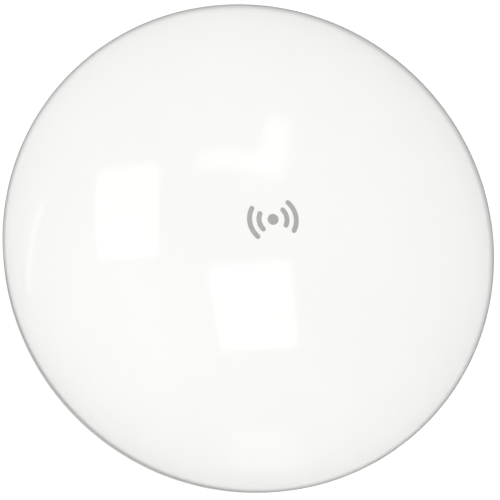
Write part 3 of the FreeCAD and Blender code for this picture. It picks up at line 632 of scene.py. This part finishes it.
def bandProfile():
    # radius, place behind the ball's centre, and how far the rib stands there
    outer = band["outer"]
    soft = band["soft"]
    mouthBack = band["front"] + band["mouthDepth"]
    profile = [(band["mouth"], band["front"], 0)]
    profile += [(r, y, 0) for r, y in arcPoints((outer - soft, band["front"] + soft), soft, -90, 0, 3)]
    for i in range(7):
        y = band["ribFront"] + band["ribEnd"] * i / 6
        profile.append((outer, y, math.sin(math.radians(15 * i))))
    profile.append((outer, 0, 1))
    for i in range(7):
        y = band["ribBack"] - band["ribEnd"] * (6 - i) / 6
        profile.append((outer, y, math.cos(math.radians(15 * i))))
    profile += [(r, y, 0) for r, y in arcPoints((outer - soft, band["back"] - soft), soft, 0, 90, 3)]
    profile += [(band["flange"] + 0.4 * mm, band["back"], 0), (band["flange"], band["back"] - 0.4 * mm, 0),
                (band["flange"], band["flangeFront"], 0), (band["inner"], band["flangeFront"], 0),
                (band["inner"], mouthBack + 1 * mm, 0), (band["mouth"], mouthBack, 0)]
    return profile


def makeLockBand():
    samples = band["ribSteps"]
    steps = band["ribs"] * samples
    spacing = 2 * math.pi * band["outer"] / band["ribs"]
    bm = bmesh.new()
    rows = []
    for radius, behind, stand in bandProfile():
        row = []
        for j in range(steps):
            angle = 2 * math.pi * j / steps
            across = ((j + samples / 2) % samples / samples - 0.5) * spacing
            bump = math.sqrt(max(0.0, band["ribRadius"] ** 2 - across ** 2)) - band["ribSink"]
            r = radius + max(0.0, bump) * stand
            row.append(bm.verts.new((r * math.cos(angle), ballY + behind, r * math.sin(angle))))
        rows.append(row)
    gridFaces(bm, rows, closeRows=True)
    thread = bmesh.new()
    helixRidge(thread, band["inner"] + ridge["sink"], neck["root"] + 0.25 * mm, ridge["base"],
               ridge["crest"], ballY - 3 * mm, 1.75, neck["pitch"])
    piece = joinInto("lockBand", [makeObject("bandBody", bm), makeObject("bandThread", thread)])
    place(shadeByAngle(piece, 38), "lock_ring", "housing_white", "lock_band")


# pole bracket: ball and stem turned, saddle cut from a bar

saddle = {"front": ballY + 29.5 * mm, "vertex": ballY + 34 * mm, "tip": ballY + 42.5 * mm, "flat": 4 * mm,
          "half": 18.4 * mm, "height": 25 * mm, "angle": math.radians(62), "slotFront": 1.9 * mm,
          "slotDeep": 1.9 * mm, "strap": 12.7 * mm, "strapPlay": 0.5 * mm, "round": 3 * mm}
# the grooves between the teeth that grip the pole
teeth = {"spots": (-6.5 * mm, 0.0, 6.5 * mm), "half": 0.75 * mm, "front": -22 * mm, "start": 6 * mm}
ball = {"radius": 16.42 * mm, "stem": 8 * mm, "foot": 15 * mm, "core": 5 * mm}


def makeStem():
    stem = ball["stem"]
    foot = saddle["front"] + 0.5 * mm
    reach = math.degrees(math.acos(stem / ball["radius"]))
    meet = ballY + math.sqrt(ball["radius"] ** 2 - stem ** 2)
    profile = arcPoints((0, ballY), ball["radius"], -90, reach - 4, 44)
    profile += [(stem + 0.35 * mm, meet + 0.2 * mm), (stem, meet + 1.0 * mm), (stem, ballY + 18 * mm)]
    profile += curveThrough((stem, ballY + 21 * mm), (stem + 2 * mm, saddle["front"] - 3.3 * mm),
                            (ball["foot"], foot), 16)
    profile += [(ball["core"], foot), (ball["core"], ballY - 4 * mm), (0, ballY - 4 * mm)]
    return lathe("ballStem", profile, 160, closed=False)


def makeSaddle():
    tip = (saddle["tip"] - saddle["vertex"]) * math.tan(saddle["angle"])
    slotFront = saddle["front"] + saddle["slotFront"]
    slotBack = slotFront + saddle["slotDeep"]
    flatY = saddle["vertex"] + saddle["flat"] / math.tan(saddle["angle"])
    half = [(saddle["half"], saddle["front"]), (saddle["half"], slotBack), (tip + 1 * mm, saddle["tip"]),
            (tip, saddle["tip"]), (saddle["flat"], flatY)]
    outline = half + [(-x, y) for x, y in reversed(half)]
    bm = bmesh.new()
    low = [bm.verts.new((x, y, -saddle["height"])) for x, y in outline]
    high = [bm.verts.new((x, y, saddle["height"])) for x, y in outline]
    gridFaces(bm, [low, high])
    bm.faces.new(low)
    bm.faces.new(high[::-1])
    bmesh.ops.recalc_face_normals(bm, faces=bm.faces)
    # the front face's top and bottom edges are rounded
    ends = [e for e in bm.edges if all(abs(v.co.y - saddle["front"]) < 1e-6 for v in e.verts)
            and abs(e.verts[0].co.z - e.verts[1].co.z) < 1e-6]
    bmesh.ops.bevel(bm, geom=ends, offset=saddle["round"], segments=8, profile=0.5, affect="EDGES")
    bar = makeObject("saddleBar", bm)
    cuts = bmesh.new()
    strap = saddle["strap"] / 2 + saddle["strapPlay"]
    boxMesh(cuts, (-saddle["half"] - past, slotFront, -strap), (saddle["half"] + past, slotBack, strap))
    for z in teeth["spots"]:
        for side in (-1, 1):
            boxMesh(cuts, (side * teeth["start"], teeth["front"], z - teeth["half"]),
                    (side * (saddle["half"] + past), 0, z + teeth["half"]))
    cutAway(bar, cuts)
    hole = bmesh.new()
    rodMesh(hole, (0, saddle["front"] + 4 * mm, 0), ball["core"], 12 * mm, "Y", 64)
    cutAway(bar, hole)
    softenEdges(bar, 0.5 * mm, 3, 35)
    return bar


def makeBracket():
    piece = joinInto("poleBracket", [makeStem(), makeSaddle()])
    place(shadeByAngle(piece, 30), "bracket", "bracket_white", "pole_bracket")


# light guides: short clear rods with a low domed end

def makeLightGuides():
    bm = bmesh.new()
    radius = guides["radius"]
    for x, z in guideSpots:
        end = bowlBack(x, z) + 0.15 * mm
        profile = [(0, guides["front"]), (radius, guides["front"]), (radius, end - 0.35 * mm),
                   (radius - 0.25 * mm, end - 0.08 * mm), (radius * 0.5, end + 0.08 * mm),
                   (0, end + 0.14 * mm)]
        gridFaces(bm, latheRows(bm, profile, 40, centre=(x, 0, z)))
    piece = makeObject("lightGuides", bm)
    place(shadeByAngle(piece, 50), "antenna", "clear_lens", "light_pipes")


print("building the shells")
makeDome()
makeEmblem()
makeRearHousing()
print("building the port parts")
makePortCover()
makeLatch()
makeGrommet()
print("building the joint and the bracket")
makeLockBand()
makeBracket()
makeLightGuides()


# materials

def linear(hexValue):
    values = []
    for k in (0, 2, 4):
        c = int(hexValue[k:k + 2], 16) / 255
        values.append(c / 12.92 if c <= 0.04045 else ((c + 0.055) / 1.055) ** 2.4)
    return (*values, 1.0)


def addNode(tree, kind, settings=None, links=None):
    # settings are sockets (by name or number) or properties, links are input socket to (node, output socket)
    node = tree.nodes.new(kind)
    for key, value in (settings or {}).items():
        if isinstance(key, int) or key in node.inputs.keys():
            node.inputs[key].default_value = value
        else:
            setattr(node, key, value)
    for key, (source, output) in (links or {}).items():
        tree.links.new(source.outputs[output], node.inputs[key])
    return node


def startMaterial(name, settings):
    mat = bpy.data.materials.new(name)
    mat.use_nodes = True
    tree = mat.node_tree
    shader = tree.nodes["Principled BSDF"]
    for key, value in settings.items():
        shader.inputs[key].default_value = value
    coords = addNode(tree, "ShaderNodeTexCoord")
    return mat, tree, shader, coords


def perMetre(sizeMm):
    return 1 / (sizeMm * mm)


def vary(tree, shader, source, colours=None, roughness=None, raisedMm=None, strength=1.0, output=0):
    # lets a pattern vary any of the surface's colour, roughness and height
    if colours:
        ramp = addNode(tree, "ShaderNodeValToRGB", None, {"Fac": (source, output)})
        for element, position, colour in zip(ramp.color_ramp.elements, (0.35, 0.65), colours):
            element.position = position
            element.color = linear(colour)
        tree.links.new(ramp.outputs["Color"], shader.inputs["Base Color"])
    if roughness:
        low, high = roughness
        spread = addNode(tree, "ShaderNodeMapRange", {"To Min": low, "To Max": high},
                         {"Value": (source, output)})
        tree.links.new(spread.outputs["Result"], shader.inputs["Roughness"])
    if raisedMm:
        bump = addNode(tree, "ShaderNodeBump", {"Strength": strength, "Distance": raisedMm * mm},
                       {"Height": (source, output)})
        tree.links.new(bump.outputs["Normal"], shader.inputs["Normal"])


def makeGlossRadome():
    # ASA moulded in a polished tool: a wet-looking skin over a white that scatters light
    mat, tree, shader, coords = startMaterial("glossMouldedAsa", {
        "IOR": 1.52, "Coat Weight": 0.35, "Coat Roughness": 0.02, "Coat IOR": 1.5})
    tint = addNode(tree, "ShaderNodeTexNoise", {"Scale": perMetre(60), "Detail": 2.0},
                   {"Vector": (coords, "Object")})
    vary(tree, shader, tint, ("F5F5F3", "F7F7F5"), (0.06, 0.08))
    # long, shallow waves of the moulded surface
    peel = addNode(tree, "ShaderNodeTexNoise", {"Scale": perMetre(9), "Detail": 1.0},
                   {"Vector": (coords, "Object")})
    vary(tree, shader, peel, raisedMm=0.006)
    return mat


def makeSatinAsa(name, low, high, grainMm, rough):
    # ASA or nylon moulded in a spark-eroded tool: an even, very fine grain
    mat, tree, shader, coords = startMaterial(name, {"IOR": 1.5})
    tint = addNode(tree, "ShaderNodeTexNoise", {"Scale": perMetre(35), "Detail": 3.0},
                   {"Vector": (coords, "Object")})
    vary(tree, shader, tint, (low, high))
    grain = addNode(tree, "ShaderNodeTexNoise", {"Scale": perMetre(grainMm), "Detail": 2.0, "Roughness": 0.6},
                    {"Vector": (coords, "Object")})
    vary(tree, shader, grain, None, (rough - 0.06, rough + 0.06), 0.02, 0.6)
    return mat


def makeInk():
    # pad-printed grey ink: flat, a little duller than the plastic round it
    mat, tree, shader, coords = startMaterial("padPrintedInk", {"IOR": 1.48})
    tint = addNode(tree, "ShaderNodeTexNoise", {"Scale": perMetre(1.2), "Detail": 2.0},
                   {"Vector": (coords, "Object")})
    vary(tree, shader, tint, ("A5A5A3", "ACACAA"), (0.26, 0.34))
    return mat


def makeRubber():
    # EPDM, moulded: dull black with a dry, fine surface
    mat, tree, shader, coords = startMaterial("mouldedEpdm", {"IOR": 1.5, "Specular IOR Level": 0.35})
    grain = addNode(tree, "ShaderNodeTexNoise", {"Scale": perMetre(0.5), "Detail": 3.0},
                    {"Vector": (coords, "Object")})
    vary(tree, shader, grain, ("17181A", "222325"), (0.62, 0.8), 0.03)
    return mat


def makeSpunAluminium():
    # spun sheet: fine rings left by the roller, centred on the dish's axis
    mat, tree, shader, coords = startMaterial("spunAluminium", {"Metallic": 1.0, "Anisotropic": 0.4})
    parts = addNode(tree, "ShaderNodeSeparateXYZ", None, {"Vector": (coords, "Object")})
    flat = addNode(tree, "ShaderNodeCombineXYZ", None, {"X": (parts, "X"), "Y": (parts, "Z")})
    radius = addNode(tree, "ShaderNodeVectorMath", {"operation": "LENGTH"}, {"Vector": (flat, 0)})
    rings = addNode(tree, "ShaderNodeTexNoise", {
        "noise_dimensions": "1D", "Scale": perMetre(0.4), "Detail": 3.0}, {"W": (radius, "Value")})
    vary(tree, shader, rings, ("C6C8CA", "D5D6D8"), (0.24, 0.36), 0.01)
    return mat


def makeBrushedSteel():
    # rolled 304 strip: hair lines along the strip, so they change only across its width
    mat, tree, shader, coords = startMaterial("rolledStainless", {"Metallic": 1.0, "Anisotropic": 0.5})
    stretch = addNode(tree, "ShaderNodeMapping", {"Scale": (0.04, 0.04, 1.0)}, {"Vector": (coords, "Object")})
    lines = addNode(tree, "ShaderNodeTexNoise", {"Scale": perMetre(0.25), "Detail": 4.0},
                    {"Vector": (stretch, 0)})
    vary(tree, shader, lines, ("A9A9A8", "BDBDBB"), (0.24, 0.4), 0.006)
    return mat


def makeZinc():
    # bright zinc plate with a faint blue passivation
    mat, tree, shader, coords = startMaterial("brightZinc", {"Metallic": 1.0})
    cloud = addNode(tree, "ShaderNodeTexNoise", {"Scale": perMetre(3), "Detail": 3.0},
                    {"Vector": (coords, "Object")})
    vary(tree, shader, cloud, ("A7ADB4", "C2C4C2"), (0.18, 0.32), 0.01)
    return mat


def makeAcetal():
    # natural acetal: waxy off-white
    mat, tree, shader, coords = startMaterial("naturalAcetal", {
        "IOR": 1.48, "Subsurface Weight": 0.08, "Subsurface Radius": (0.002, 0.002, 0.0015)})
    tint = addNode(tree, "ShaderNodeTexNoise", {"Scale": perMetre(6), "Detail": 2.0},
                   {"Vector": (coords, "Object")})
    vary(tree, shader, tint, ("E4E2D8", "ECEAE2"), (0.32, 0.42))
    return mat


def makeCopper():
    # copper jacket of a rigid line, drawn along its length
    mat, tree, shader, coords = startMaterial("drawnCopper", {"Metallic": 1.0})
    stretch = addNode(tree, "ShaderNodeMapping", {"Scale": (1.0, 0.05, 1.0)}, {"Vector": (coords, "Object")})
    lines = addNode(tree, "ShaderNodeTexNoise", {"Scale": perMetre(0.3), "Detail": 3.0},
                    {"Vector": (stretch, 0)})
    vary(tree, shader, lines, ("B5714A", "CB8A5E"), (0.25, 0.4))
    return mat


def makeSolderMask():
    # fibre-glass board: copper tracks show as raised lines under green solder mask
    mat, tree, shader, coords = startMaterial("greenSolderMask", {"IOR": 1.55, "Coat Weight": 0.3})
    parts = addNode(tree, "ShaderNodeSeparateXYZ", None, {"Vector": (coords, "Object")})
    flat = addNode(tree, "ShaderNodeCombineXYZ", None, {"X": (parts, "X"), "Y": (parts, "Z")})
    tracks = addNode(tree, "ShaderNodeTexBrick", {
        "Scale": perMetre(4.2), "Mortar Size": 0.05, "Color1": linear("0E4B2B"), "Color2": linear("0B4226"),
        "Mortar": linear("1E7346"), "offset": 0.37}, {"Vector": (flat, 0)})
    tree.links.new(tracks.outputs["Color"], shader.inputs["Base Color"])
    weave = addNode(tree, "ShaderNodeTexNoise", {"Scale": perMetre(0.6), "Detail": 2.0},
                    {"Vector": (coords, "Object")})
    vary(tree, shader, weave, roughness=(0.22, 0.36))
    vary(tree, shader, tracks, raisedMm=0.03, output="Fac")
    return mat


def makeTinnedSteel():
    # stamped can with a dull tin finish
    mat, tree, shader, coords = startMaterial("stampedTinplate", {"Metallic": 1.0})
    cloud = addNode(tree, "ShaderNodeTexNoise", {"Scale": perMetre(2.2), "Detail": 4.0},
                    {"Vector": (coords, "Object")})
    vary(tree, shader, cloud, ("B9B9B4", "CBCBC6"), (0.3, 0.46), 0.015)
    return mat


def makeChipEpoxy():
    # black epoxy package, laser-dull
    mat, tree, shader, coords = startMaterial("blackEpoxy", {"IOR": 1.55})
    grain = addNode(tree, "ShaderNodeTexNoise", {"Scale": perMetre(0.2), "Detail": 2.0},
                    {"Vector": (coords, "Object")})
    vary(tree, shader, grain, ("18181A", "232325"), (0.5, 0.66), 0.01)
    return mat


def makeDrawnCan():
    # drawn aluminium can of a capacitor
    mat, tree, shader, coords = startMaterial("drawnAluminium", {"Metallic": 1.0})
    cloud = addNode(tree, "ShaderNodeTexNoise", {"Scale": perMetre(0.8), "Detail": 3.0},
                    {"Vector": (coords, "Object")})
    vary(tree, shader, cloud, ("CFD0D2", "DCDDDF"), (0.2, 0.3))
    return mat


def makeGold():
    # gold flash on a phosphor bronze spring
    mat, tree, shader, coords = startMaterial("goldFlash", {"Metallic": 1.0})
    cloud = addNode(tree, "ShaderNodeTexNoise", {"Scale": perMetre(0.5), "Detail": 2.0},
                    {"Vector": (coords, "Object")})
    vary(tree, shader, cloud, ("D6A03C", "E2B457"), (0.18, 0.28))
    return mat


def makeButtonPlastic():
    # grey acetal plunger
    mat, tree, shader, coords = startMaterial("greyAcetal", {"IOR": 1.48})
    grain = addNode(tree, "ShaderNodeTexNoise", {"Scale": perMetre(0.6), "Detail": 2.0},
                    {"Vector": (coords, "Object")})
    vary(tree, shader, grain, ("47484B", "515256"), (0.36, 0.48))
    return mat


def makeLens(name, low, high, rough):
    # moulded polycarbonate: clear, with a slightly frosted end
    mat, tree, shader, coords = startMaterial(name, {"IOR": 1.58, "Transmission Weight": 0.75})
    cloud = addNode(tree, "ShaderNodeTexNoise", {"Scale": perMetre(0.9), "Detail": 2.0},
                    {"Vector": (coords, "Object")})
    vary(tree, shader, cloud, (low, high), (rough, rough + 0.12))
    return mat


print("making materials")
finishes = {
    "dome_gloss_white": makeGlossRadome(),
    "housing_white": makeSatinAsa("satinMouldedAsa", "E6E6E3", "EAEAE8", 0.7, 0.42),
    "bracket_white": makeSatinAsa("mouldedNylon", "DEDEDB", "E3E3E1", 0.9, 0.5),
    "emblem_grey": makeInk(),
    "black_rubber": makeRubber(),
    "dish_aluminium": makeSpunAluminium(),
    "stainless_steel": makeBrushedSteel(),
    "zinc_steel": makeZinc(),
    "natural_plastic": makeAcetal(),
    "copper_jacket": makeCopper(),
    "circuit_green": makeSolderMask(),
    "tinned_steel": makeTinnedSteel(),
    "chip_black": makeChipEpoxy(),
    "capacitor_can": makeDrawnCan(),
    "gold_contacts": makeGold(),
    "button_grey": makeButtonPlastic(),
    "led_lens": makeLens("diffusedLens", "E9EBDD", "F2F4E8", 0.3),
    "clear_lens": makeLens("clearGuide", "E6ECEC", "F0F4F4", 0.16),
}
slotOfNode = {entry["node"]: entry["material_slot"] for entry in frame["record"]["subparts"]}
for name, obj in nodes.items():
    obj.data.materials.clear()
    obj.data.materials.append(finishes[slotOfNode[name]])
for piece, slotName in pieceSlots.items():
    piece.data.materials.clear()
    piece.data.materials.append(finishes[slotName])


# floor, world, lights and camera

def makeFloor():
    bm = bmesh.new()
    boxMesh(bm, (-4, -4, -0.36), (4, 4, -0.34))
    floor = makeObject("floor", bm)
    mat, tree, shader, coords = startMaterial("palePaint", {"Roughness": 0.6})
    wash = addNode(tree, "ShaderNodeTexNoise", {"Scale": 1.5, "Detail": 2.0}, {"Vector": (coords, "Object")})
    vary(tree, shader, wash, ("F6F6F5", "F8F8F7"))
    floor.data.materials.append(mat)
    floor.visible_glossy = False   # its far edge would draw a line across the dome


# how bright the tent is at the side, in front and at the curtain, how it changes from above right (dim)
# to below left (bright), how bright the camera sees it, and where it turns and the curtain hangs
studio = {"side": 0.91, "front": 0.825, "back": 0.02, "dim": 0.83, "bright": 1.16, "seen": 1.06,
          "turnsFrom": -0.6, "turnsTo": 0.4, "hang": (0.2, 1.0, 0.16), "hangsFrom": 0.42, "hangsTo": 0.68,
          "along": (0.45, 0.0, 0.89)}


def makeWorld():
    # a white tent, brighter low on the left, with a dark curtain behind the object for a clean outline
    world = bpy.data.worlds.new("studio")
    bpy.context.scene.world = world
    world.use_nodes = True
    tree = world.node_tree
    background = tree.nodes["Background"]
    coords = addNode(tree, "ShaderNodeTexCoord")
    parts = addNode(tree, "ShaderNodeSeparateXYZ", None, {"Vector": (coords, "Generated")})
    tent = addNode(tree, "ShaderNodeMapRange", {
        "interpolation_type": "SMOOTHSTEP", "From Min": studio["turnsFrom"], "From Max": studio["turnsTo"],
        "To Min": studio["front"], "To Max": studio["side"]}, {"Value": (parts, "Y")})
    # the curtain hangs a little to the right and from above, so it reaches further round there
    hang = addNode(tree, "ShaderNodeVectorMath", {"operation": "DOT_PRODUCT", 1: studio["hang"]},
                   {0: (coords, "Generated")})
    curtain = addNode(tree, "ShaderNodeMapRange", {
        "interpolation_type": "SMOOTHSTEP", "From Min": studio["hangsFrom"], "From Max": studio["hangsTo"],
        "To Min": 1.0, "To Max": studio["back"]}, {"Value": (hang, "Value")})
    along = addNode(tree, "ShaderNodeVectorMath", {"operation": "DOT_PRODUCT", 1: studio["along"]},
                    {0: (coords, "Generated")})
    tilt = addNode(tree, "ShaderNodeMapRange", {
        "From Min": -1.0, "From Max": 1.0, "To Min": studio["bright"], "To Max": studio["dim"]},
        {"Value": (along, "Value")})
    both = addNode(tree, "ShaderNodeMath", {"operation": "MULTIPLY"}, {0: (tent, 0), 1: (curtain, 0)})
    room = addNode(tree, "ShaderNodeMath", {"operation": "MULTIPLY"}, {0: (both, 0), 1: (tilt, 0)})
    path = addNode(tree, "ShaderNodeLightPath")
    pick = addNode(tree, "ShaderNodeMix", {"data_type": "FLOAT", "B": studio["seen"]},
                   {"Factor": (path, "Is Camera Ray"), "A": (room, 0)})
    tree.links.new(pick.outputs[0], background.inputs["Strength"])
    background.inputs["Color"].default_value = (1, 1, 1, 1)


def lookingBack(azimuth, elevation, roll, target, distance):
    # stands off the target at two angles and looks back at it
    a = math.radians(azimuth)
    e = math.radians(elevation)
    away = Vector((math.sin(a) * math.cos(e), -math.cos(a) * math.cos(e), math.sin(e)))
    turn = away.to_track_quat("Z", "Y").to_matrix().to_4x4()
    return Matrix.Translation(target + away * distance) @ turn @ Matrix.Rotation(math.radians(roll), 4, "Z")


# azimuth, elevation, then the width and height it fills as the dome sees it, all in degrees, then the
# distance in metres, the radiance and the roll in degrees
softBoxes = {
    "windowLeft": (-19.1, 19.5, 17.6, 21.6, 1.1, 1.1, -7),
    "windowLow": (6.7, -6.3, 17.4, 19.6, 1.1, 1.2, -4),
    "stripFlat": (8.8, 25.7, 13.5, 4.4, 1.1, 0.9, -15),
    "stripTall": (19.9, 26.7, 5.2, 14.2, 1.1, 0.9, -27),
    "doorGap": (-67.9, 16.5, 4.5, 31, 1.1, 0.8, -42),
    "tableEdge": (-5.8, -67.3, 18.5, 30, 0.31, 0.5, -12),
    "frontFill": (-8, -8, 28, 28, 1.1, 3.4, 0),
    "rearLamp": (172, 26, 20, 20, 0.8, 10.0, 0)}
onlyReflected = ("doorGap", "tableEdge")
neverReflected = ("frontFill", "rearLamp")


def makeLights():
    target = Vector((0, seamY - dome["height"], 0))
    for name, (azimuth, elevation, width, height, distance, radiance, roll) in softBoxes.items():
        light = bpy.data.lights.new(name, "AREA")
        light.shape = "RECTANGLE"
        light.size = 2 * distance * math.tan(math.radians(width) / 2)
        light.size_y = 2 * distance * math.tan(math.radians(height) / 2)
        light.energy = radiance * math.pi * light.size * light.size_y
        obj = bpy.data.objects.new(name, light)
        bpy.context.scene.collection.objects.link(obj)
        obj.matrix_world = lookingBack(azimuth, elevation, roll, target, distance)
        obj.visible_glossy = name not in neverReflected
        obj.visible_diffuse = name not in onlyReflected
        obj.visible_camera = False


shot = {"azimuth": -13.3, "elevation": -10.4, "roll": -12.0, "distance": 475 * mm,
        "aim": Vector((-3.25 * mm, seamY, -3.71 * mm)), "lens": 90.34}


def makeCamera():
    data = bpy.data.cameras.new("shot")
    data.lens = shot["lens"]
    data.sensor_width = 36
    data.clip_start = 0.01
    camera = bpy.data.objects.new("shot", data)
    bpy.context.scene.collection.objects.link(camera)
    camera.matrix_world = lookingBack(
        shot["azimuth"], shot["elevation"], shot["roll"], shot["aim"], shot["distance"])
    bpy.context.scene.camera = camera


print("setting the scene")
makeFloor()
makeWorld()
makeLights()
makeCamera()
bpy.context.scene.view_settings.view_transform = "Standard"

print("done")
